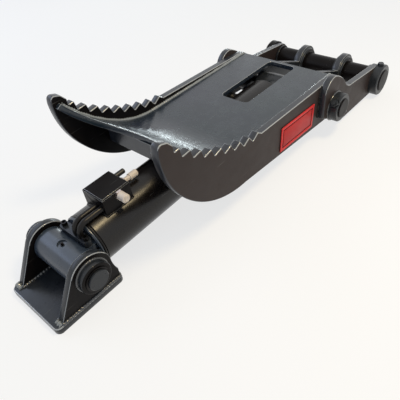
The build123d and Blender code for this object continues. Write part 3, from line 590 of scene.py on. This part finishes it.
class Workshop:
    """Makes the pieces that stand for or join the CAD nodes."""

    def __init__(self, paintbox: Paintbox) -> None:
        """Keep the paintbox.

        Args:
            paintbox: source of the finishes.
        """
        self.paintbox = paintbox

    def eased(
        self,
        node: str,
        width_mm: float,
        finish: Finish,
        rim: Optional[Finish] = None,
        edge: Optional[Finish] = None,
    ) -> None:
        """Replace a plate by itself with its sharp edges eased, so that they catch the light.

        Args:
            node: CAD node to stand for.
            width_mm: width of the eased edge.
            finish: finish of the piece.
            rim: finish of the faces that don't look sideways, a painted sky reflection, or None for the same.
            edge: painted-highlight finish of the eased edges that look up, or None for their neighbours'.
        """
        mesh = bmesh.new()
        mesh.from_mesh(frame["nodes"][node].data)
        bmesh.ops.remove_doubles(mesh, verts=mesh.verts, dist=MERGE)
        bmesh.ops.dissolve_limit(mesh, angle_limit=COPLANAR, verts=mesh.verts, edges=mesh.edges)
        sharp = [e for e in mesh.edges if len(e.link_faces) == 2 and e.calc_face_angle(0.0) > SHARP]
        bevel(mesh, sharp, width_mm, EDGE_SLOT if edge else -1)
        for face in mesh.faces:
            # Faces that don't look sideways take the rim finish, a painted sky reflection
            if rim and face.material_index == 0 and abs(face.normal.y) < SIDEWAYS:
                face.material_index = RIM_SLOT
            # Painted highlight only on eased edges that look up; the others take the rim finish
            if face.material_index == EDGE_SLOT and face.normal.z < UPWARD:
                face.material_index = RIM_SLOT
        piece = new_piece(f"{node}.eased", mesh, GENTLE_EASED, FLAT_AREA)
        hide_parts(node)
        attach(piece, body_of_node(node))
        self.paintbox.paint(piece, finish, rim or finish, edge or rim or finish)
        log.info("eased %s", node)

    def bead(
        self,
        name: str,
        path: Sequence[Vector],
        size_mm: float,
        body: str,
        closed: bool = False,
        finish: Finish = Finish.WELD,
        uneven: float = 0.10,
    ) -> None:
        """Lay a rippled weld bead along a path.

        Args:
            name: name of the piece.
            path: corner points of the seam.
            size_mm: half-width of the bead.
            body: body that the bead rides on.
            closed: whether the seam joins its own start.
            finish: finish of the bead.
            uneven: how far its ripples swell, as a share of its size.
        """
        points = self.spaced(path, closed)
        count = len(points)
        mesh = bmesh.new()
        ring = bmesh.ops.create_circle(
            mesh, cap_ends=False, segments=RING_CORNERS, radius=size_mm * MM
        )["verts"]
        template = [v.co.copy() for v in ring]
        for i, point in enumerate(points):
            ahead = points[(i + 1) % count] if closed or i + 1 < count else point
            behind = points[i - 1] if closed or i > 0 else point
            turn = (ahead - behind).to_track_quat("Z", "Y").to_matrix().to_4x4()
            ripple = 1.0 + uneven * (math.sin(i * RIPPLE_BEAT) + SWELL_SHARE * math.sin(i * SWELL_BEAT))
            place = Matrix.Translation(point) @ turn @ Matrix.Scale(ripple, 4)
            if i > 0:
                ring = self.grown(mesh, ring)
            for vert, corner in zip(ring, template):
                vert.co = place @ corner
        open_edges = [e for e in mesh.edges if e.is_boundary]
        if closed:
            bmesh.ops.bridge_loops(mesh, edges=open_edges)
        else:
            bmesh.ops.holes_fill(mesh, edges=open_edges, sides=0)
        bmesh.ops.recalc_face_normals(mesh, faces=mesh.faces)
        piece = new_piece(name, mesh, GENTLE_BEAD)
        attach(piece, body)
        self.paintbox.paint(piece, finish)
        log.info("welded %s", name)

    @staticmethod
    def spaced(path: Sequence[Vector], closed: bool) -> list[Vector]:
        """Give evenly spaced points along a path.

        Args:
            path: corner points.
            closed: whether it joins its own start.

        Returns:
            The points.
        """
        corners = list(path) + ([path[0]] if closed else [])
        points: list[Vector] = []
        for start, end in zip(corners, corners[1:]):
            steps = max(1, round((end - start).length / RING_PITCH))
            points += [start.lerp(end, i / steps) for i in range(steps)]
        return points if closed else points + [corners[-1]]

    @staticmethod
    def grown(mesh: bmesh.types.BMesh, ring: Sequence[bmesh.types.BMVert]) -> list[bmesh.types.BMVert]:
        """Extrude a bead's last ring.

        Args:
            mesh: the bead's mesh.
            ring: its last ring.

        Returns:
            The new ring in the same order.
        """
        edges = list(dict.fromkeys(e for v in ring for e in v.link_edges if e.other_vert(v) in ring))
        made = set(bmesh.ops.extrude_edge_only(mesh, edges=edges)["geom"])
        mates = [[e.other_vert(v) for e in v.link_edges] for v in ring]
        return [next(m for m in options if m in made) for options in mates]


def angles_round(count: int) -> list[float]:
    """Give evenly spaced angles of a full turn, in radians."""
    return [2 * math.pi * i / count for i in range(count)]


def ring_path(centre: Vector, radius_mm: float, normal: Vector, count: int = 60) -> list[Vector]:
    """Give points round a circle.

    Args:
        centre: its centre in metres.
        radius_mm: its radius.
        normal: its axis.
        count: number of points.

    Returns:
        The points.
    """
    turn = normal.to_track_quat("Z", "Y").to_matrix()
    return [
        centre + turn @ (Vector((math.cos(a), math.sin(a), 0)) * radius_mm * MM) for a in angles_round(count)
    ]


def point_mm(x: float, y: float, z: float) -> Vector:
    """Give a point in metres from millimetres."""
    return Vector((x, y, z)) * MM


@dataclass
class Bracket:
    """Weld-on bracket: base plate, ears, bosses and pin, in millimetres."""

    workshop: Workshop
    ear_inside: float = 78.0
    ear_outside: float = 98.0
    base_top: float = 20.0
    foot: tuple[float, float] = (-84.0, 98.0)
    toe: float = -87.0
    pin: tuple[float, float] = (29.0, 94.0)
    boss_radius: float = 43.5
    toe_bead: float = 6.0
    foot_bead: float = 5.0
    boss_bead: float = 4.0

    def dress(self) -> None:
        """Ease the plates' edges and lay the welds."""
        shop = self.workshop
        # Base plate: plain paint, with a painted highlight on its upward edges
        shop.eased("bracket_base_plate", 1.5, Finish.FRAME, edge=Finish.EDGE_HIGHLIGHT)
        for side, sign in SIDES:
            # Ears and bosses: painted shade on their sides, plain paint round them, painted highlight on
            # upward ear edges
            shop.eased(f"bracket_ear_{side}", 1.8, Finish.SIDE_SHADE, Finish.FRAME, Finish.EDGE_HIGHLIGHT)
            shop.eased(f"bracket_boss_{side}", 1.5, Finish.SIDE_SHADE, Finish.FRAME)
            outside, inside = sign * self.ear_outside, sign * self.ear_inside
            toe = [point_mm(self.toe, y, self.base_top) for y in (inside, outside)]
            # Toe welds take a painted highlight
            shop.bead(f"toe_weld_{side}", toe, self.toe_bead, "bracket", finish=Finish.SEAM_HIGHLIGHT, uneven=0.35)
            for face, y in (("outer", outside), ("inner", inside)):
                foot = [point_mm(x, y, self.base_top) for x in self.foot]
                shop.bead(f"foot_weld_{side}_{face}", foot, self.foot_bead, "bracket", uneven=0.25)
            ring = ring_path(point_mm(self.pin[0], outside, self.pin[1]), self.boss_radius, ACROSS)
            shop.bead(f"boss_weld_{side}", ring, self.boss_bead, "bracket", closed=True)


@dataclass
class Cylinder:
    """Hydraulic cylinder with its valve block and rod-side port, in millimetres."""

    workshop: Workshop
    pin: tuple[float, float] = (29.0, 94.0)
    pin_distance: float = 950.0
    rod_pin_rise: float = 20.0
    weld_at: float = 67.0
    weld_radius: float = 69.5
    barrel_radius: float = 73.0
    block: tuple[float, float] = (118.0, 206.0)
    block_half: float = 40.0
    port_at: float = 762.0
    port_turn: float = math.radians(60.0)
    port_radius: float = 21.0
    cap_bead: float = 4.2
    block_bead: float = 3.2
    port_bead: float = 3.0

    @property
    def slope(self) -> float:
        """Give the rise of the axis, in radians."""
        return math.asin(self.rod_pin_rise / self.pin_distance)

    def along(self, s: float) -> Vector:
        """Give the point of the cylinder's axis at s millimetres from the bracket pin."""
        return point_mm(self.pin[0] + s * math.cos(self.slope), 0, self.pin[1] + s * math.sin(self.slope))

    def on_barrel(self, s: float, turn: float) -> Vector:
        """Give a point of the barrel's surface.

        Args:
            s: distance along the axis from the bracket pin, in millimetres.
            turn: angle from the crest toward +Y, in radians.

        Returns:
            The point in metres.
        """
        crest = Vector((-math.sin(self.slope), 0, math.cos(self.slope)))
        outward = ACROSS * math.sin(turn) + crest * math.cos(turn)
        return self.along(s) + outward * self.barrel_radius * MM

    def block_ring(self, steps: int = 12) -> list[Vector]:
        """Give the seam round the valve block's foot, its ends bent over the barrel."""
        start, end = self.block
        spread = math.asin(self.block_half / self.barrel_radius)
        arc = [-spread + 2 * spread * i / steps for i in range(steps + 1)]
        return [self.on_barrel(start, t) for t in arc] + [self.on_barrel(end, t) for t in reversed(arc)]

    def port_ring(self, count: int = 36) -> list[Vector]:
        """Give the seam round the rod-side port's boss."""
        radius = self.port_radius
        return [
            self.on_barrel(
                self.port_at + radius * math.cos(a),
                self.port_turn + radius * math.sin(a) / self.barrel_radius,
            )
            for a in angles_round(count)
        ]

    def dress(self) -> None:
        """Lay the welds of the cap, the valve block and the rod-side port, and ease the block."""
        shop = self.workshop
        axis = Vector((math.cos(self.slope), 0, math.sin(self.slope)))
        cap_ring = ring_path(self.along(self.weld_at), self.weld_radius, axis, 90)
        shop.bead("cap_weld", cap_ring, self.cap_bead, "barrel", True, Finish.CYLINDER, uneven=0.04)
        shop.bead("block_weld", self.block_ring(), self.block_bead, "barrel", True, Finish.CYLINDER)
        shop.bead("port_weld", self.port_ring(), self.port_bead, "barrel", True, Finish.CYLINDER)
        # Valve block: painted shade on its faces, painted highlight on upward edges
        shop.eased("valve_block", 0.9, Finish.SIDE_SHADE, edge=Finish.EDGE_HIGHLIGHT)


@dataclass
class Thumb:
    """Two serrated plates, web, lapped ears, lugs and the main pin, in millimetres."""

    workshop: Workshop
    plate_inside: float = 178.0
    plate_outside: float = 200.0
    web_top: float = 200.0
    web_ends: tuple[float, float] = (1012.0, 530.0)
    # Centre in X and Z and radius of the web's two bends, and the angles in degrees where they end
    bend: tuple[float, float, float] = (530.0, 500.0, 300.0)
    lip: tuple[float, float, float] = (614.5, 658.9, 480.0)
    bend_angle: float = 28.0
    lip_angle: float = 52.0
    ear_seam: tuple[tuple[float, float], ...] = (
        (952.0, 79.0),
        (930.0, 88.0),
        (905.0, 102.0),
        (905.0, 184.0),
        (912.0, 202.0),
        (916.0, 207.0),
    )
    main_pin: tuple[float, float] = (1315.0, 66.0)
    lug_radius: float = 55.0
    lug_faces: tuple[float, float] = (74.5, 96.5)
    rod_pin: tuple[float, float] = (978.79, 114.0)
    collar_radius: float = 48.0
    lap_outside: float = 222.0
    web_bead: float = 5.5
    ear_bead: float = 4.5
    collar_bead: float = 3.2
    lug_bead: float = 3.5

    def web_line(self, y: float, steps: int = 14) -> list[Vector]:
        """Give the line of the web's top along a plate.

        Args:
            y: place of the line across the thumb.
            steps: number of points on each bend.

        Returns:
            The points.
        """
        points = [point_mm(x, y, self.web_top) for x in self.web_ends]
        for (cx, cz, radius), start, end in (
            (self.bend, 0.0, self.bend_angle),
            (self.lip, self.bend_angle, self.lip_angle),
        ):
            for i in range(1, steps + 1):
                a = math.radians(start + (end - start) * i / steps)
                points.append(point_mm(cx - radius * math.sin(a), y, cz - radius * math.cos(a)))
        return points

    def weld(self, side: str, sign: int) -> None:
        """Lay one side's welds.

        Args:
            side: "near" or "far".
            sign: -1 for near, 1 for far.
        """
        shop = self.workshop
        web = self.web_line(sign * (self.plate_inside - 1))
        # Web welds take a painted highlight
        shop.bead(f"web_weld_{side}", web, self.web_bead, "thumb", finish=Finish.SEAM_HIGHLIGHT, uneven=0.2)
        ear = [point_mm(x, self.plate_outside * sign, z) for x, z in self.ear_seam]
        shop.bead(f"ear_weld_{side}", ear, self.ear_bead, "thumb", finish=Finish.CYLINDER)
        centre = point_mm(self.rod_pin[0], sign * self.lap_outside, self.rod_pin[1])
        collar = ring_path(centre, self.collar_radius, ACROSS)
        shop.bead(f"collar_weld_{side}", collar, self.collar_bead, "thumb", closed=True)
        for y in self.lug_faces:
            centre = point_mm(self.main_pin[0], sign * y, self.main_pin[1])
            hub = ring_path(centre, self.lug_radius, ACROSS)
            shop.bead(f"lug_boss_weld_{side}_{int(y)}", hub, self.lug_bead, "thumb", closed=True)

    def dress(self) -> None:
        """Ease the plates' edges and lay the welds."""
        shop = self.workshop
        for side, sign in SIDES:
            # Side and ear plates: painted shade on their sides, darker on the far side plate; lugs keep the
            # plain paint there. All take a painted sky reflection round them and a painted highlight on
            # upward edges
            face = Finish.PLATE_SHADE if side == "near" else Finish.SIDE_SHADE
            shop.eased(f"side_plate_{side}", 2.0, face, Finish.RIM_SKY_REFLECTION, Finish.EDGE_HIGHLIGHT)
            shop.eased(f"ear_plate_{side}", 1.8, Finish.PLATE_SHADE, Finish.RIM_SKY_REFLECTION, Finish.EDGE_HIGHLIGHT)
            shop.eased(f"inner_lug_{side}", 1.6, Finish.FRAME, Finish.RIM_SKY_REFLECTION, Finish.EDGE_HIGHLIGHT)
            # Boss rings: painted shade on their sides, plain paint round them
            for ring in (f"lug_boss_{side}_inner", f"lug_boss_{side}_outer", f"ear_boss_{side}"):
                shop.eased(ring, 1.5, Finish.SIDE_SHADE, Finish.FRAME)
            self.weld(side, sign)
        # Web: painted sky reflection with a painted highlight on upward edges; the front plate takes the
        # rims' painted sky reflection
        shop.eased("web_plate", 1.6, Finish.WEB_SKY_REFLECTION, edge=Finish.EDGE_HIGHLIGHT)
        shop.eased("front_plate", 1.2, Finish.RIM_SKY_REFLECTION, edge=Finish.EDGE_HIGHLIGHT)


@dataclass
class NamePlate:
    """Bare name plate: raised red border round a dark groove and a blank panel, in millimetres."""

    workshop: Workshop
    centre: tuple[float, float] = (775.0, 131.0)
    size: tuple[float, float] = (190.0, 82.0)
    turn: float = -3.0
    face: float = -201.5
    border: float = 8.5
    border_height: float = 2.2
    groove: float = 5.0
    panel_height: float = 1.6

    def placed(self) -> Matrix:
        """Give the turn and place of the plate's face, with its third axis outward."""
        a = math.radians(self.turn)
        rows = ((math.cos(a), 0, math.sin(a)), (-math.sin(a), 0, math.cos(a)), (0, -1, 0))
        place = point_mm(self.centre[0], self.face, self.centre[1])
        return Matrix.Translation(place) @ Matrix(rows).transposed().to_4x4()

    def slab(self, name: str, inset: float, width: Optional[float], height: float, finish: Finish) -> None:
        """Raise a flat oblong, or a frame of some width, from the plate.

        Args:
            name: name of the piece.
            inset: distance of its rim from the plate's rim, in millimetres.
            width: width of the frame, or None for a full oblong.
            height: how far it stands out.
            finish: its finish.
        """
        mesh = bmesh.new()
        bmesh.ops.create_grid(mesh, x_segments=1, y_segments=1, size=0.5)
        spans = [(side - 2 * inset) * MM for side in self.size]
        bmesh.ops.scale(mesh, vec=(spans[0], spans[1], 1.0), verts=mesh.verts)
        if width is not None:
            rim = bmesh.ops.inset_region(
                mesh, faces=mesh.faces[:], thickness=width * MM, use_boundary=True, use_even_offset=True
            )["faces"]
            bmesh.ops.delete(mesh, geom=[f for f in mesh.faces if f not in rim], context="FACES_ONLY")
        grown = bmesh.ops.extrude_face_region(mesh, geom=mesh.faces[:])["geom"]
        tops = [v for v in grown if isinstance(v, bmesh.types.BMVert)]
        bmesh.ops.translate(mesh, vec=(0, 0, height * MM), verts=tops)
        bmesh.ops.recalc_face_normals(mesh, faces=mesh.faces)
        rims = [e for e in mesh.edges if all(v in tops for v in e.verts) and e.calc_face_angle(0.0) > SHARP]
        bevel(mesh, rims, 0.5)
        bmesh.ops.transform(mesh, matrix=self.placed(), verts=mesh.verts)
        piece = new_piece(name, mesh)
        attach(piece, "thumb")
        self.workshop.paintbox.paint(piece, finish)
        log.info("raised %s", name)

    def dress(self) -> None:
        """Make the field, its border and the blank panel."""
        self.workshop.eased("name_plate", 0.4, Finish.BARE_LABEL)
        self.slab("name_plate.border", 0.0, self.border, self.border_height, Finish.RED_RIM)
        inset = self.border + self.groove
        self.slab("name_plate.panel", inset, None, self.panel_height, Finish.RED_PANEL)


@dataclass(frozen=True)
class Lamp:
    """Soft oblong lamp that the camera doesn't see.

    The first side of its size is level, its power is in watts and its spread in degrees.
    """

    name: str
    place: tuple[float, float, float]
    target: tuple[float, float, float]
    size: tuple[float, float]
    power: float
    colour: str
    spread: float = 180.0

    def hang(self) -> None:
        """Add the lamp to the scene."""
        data = bpy.data.lights.new(self.name, "AREA")
        data.spread = math.radians(self.spread)
        data.shape = "RECTANGLE"
        data.size, data.size_y = self.size
        data.energy = self.power
        data.color = linear(self.colour)[:3]
        lamp = bpy.data.objects.new(self.name, data)
        lamp.visible_camera = False
        turn = (Vector(self.place) - Vector(self.target)).to_track_quat("Z", "Y").to_matrix().to_4x4()
        lamp.matrix_world = Matrix.Translation(self.place) @ turn
        bpy.context.scene.collection.objects.link(lamp)


# Each stands where the face that should catch it mirrors the camera
LAMPS = (
    Lamp("sky_panel", (-0.65, 2.45, 2.0), (-0.65, 2.45, 0.0), (3.1, 1.1), 31.0, "#c4d8ff"),
    Lamp("horizon_strip", (2.75, 2.15, 0.36), (0.45, 0.05, 0.2), (1.6, 0.1), 1.15, "#e6f4f8", 60.0),
    Lamp("crest_panel", (0.8, -0.95, 2.0), (0.8, -0.95, 0.0), (0.45, 0.5), 26.0, "#ffe6b4"),
)


@dataclass(frozen=True)
class Studio:
    """Camera, floor and soft light."""

    camera_place: tuple[float, float, float] = (-0.2215, -0.7442, 0.8648)
    look: tuple[float, float, float] = (0.5202, 0.5274, -0.6719)
    right: tuple[float, float, float] = (0.6482, -0.7561, -0.0916)
    down: tuple[float, float, float] = (-0.5561, -0.3878, -0.7351)
    lens: float = 37.55
    sensor: float = 36.0
    floor_half: float = 6.0
    floor_glow: float = 0.72

    def camera(self) -> None:
        """Place the camera at the photograph's viewpoint."""
        data = bpy.data.cameras.new("photograph")
        data.lens = self.lens
        data.sensor_width = self.sensor
        data.clip_end = 50.0
        view = bpy.data.objects.new("photograph", data)
        turn = Matrix((self.right, [-d for d in self.down], [-k for k in self.look])).transposed()
        view.matrix_world = Matrix.Translation(self.camera_place) @ turn.to_4x4()
        bpy.context.scene.collection.objects.link(view)
        bpy.context.scene.camera = view

    def floor(self) -> None:
        """Lay a pale floor that shows white to the camera away from the shadow."""
        mesh = bmesh.new()
        bmesh.ops.create_grid(mesh, x_segments=1, y_segments=1, size=self.floor_half)
        floor = new_piece("floor", mesh)
        material, tree, _ = fresh("pale_floor")
        paint = {"Base Color": linear("#f4f4f2"), "Roughness": 0.9, "Specular IOR Level": 0.1}
        shader = add(tree, "ShaderNodeBsdfPrincipled", paint).outputs[0]
        white = add(tree, "ShaderNodeEmission", {"Color": (1.0, 1.0, 1.0, 1.0), "Strength": 1.0}).outputs[0]
        glow = {"operation": "MULTIPLY", 1: self.floor_glow}
        share = add(tree, "ShaderNodeMath", glow, {0: self.seen(tree)}).outputs[0]
        close(tree, add(tree, "ShaderNodeMixShader", links={0: share, 1: shader, 2: white}))
        floor.data.materials.append(material)

    @staticmethod
    def seen(tree: bpy.types.NodeTree) -> bpy.types.NodeSocket:
        """Give 1 for rays that show the background: from the camera, in metal and through glass.

        Args:
            tree: tree that gets the nodes.

        Returns:
            The socket.
        """
        path = add(tree, "ShaderNodeLightPath").outputs
        either = {"operation": "MAXIMUM"}
        sources = {0: path["Is Glossy Ray"], 1: path["Is Transmission Ray"]}
        mirror = add(tree, "ShaderNodeMath", either, sources).outputs[0]
        return add(tree, "ShaderNodeMath", either, {0: path["Is Camera Ray"], 1: mirror}).outputs[0]

    def world(self) -> None:
        """Light from all round, and show white behind the floor's edge."""
        world = bpy.data.worlds.new("studio")
        bpy.context.scene.world = world
        world.use_nodes = True
        tree = world.node_tree
        tree.nodes.clear()
        soft = add(tree, "ShaderNodeBackground", {"Color": linear("#e4eaf0"), "Strength": 0.6}).outputs[0]
        white = add(tree, "ShaderNodeBackground", {"Color": (1, 1, 1, 1), "Strength": 1.0}).outputs[0]
        mixed = add(tree, "ShaderNodeMixShader", links={0: self.seen(tree), 1: soft, 2: white})
        add(tree, "ShaderNodeOutputWorld", links={"Surface": mixed.outputs[0]})

    def set_up(self) -> None:
        """Make the camera, the floor and the light."""
        self.camera()
        self.floor()
        self.world()
        for lamp in LAMPS:
            lamp.hang()
        bpy.context.scene.view_settings.view_transform = "Standard"


def main() -> None:
    """Dress the thumb and set up the picture."""
    logging.basicConfig(level=logging.INFO, format="%(message)s")
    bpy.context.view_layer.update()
    Studio().set_up()
    paintbox = Paintbox()
    paintbox.paint_nodes()
    workshop = Workshop(paintbox)
    Bracket(workshop).dress()
    Cylinder(workshop).dress()
    Thumb(workshop).dress()
    NamePlate(workshop).dress()


if __name__ == "__main__":
    main()
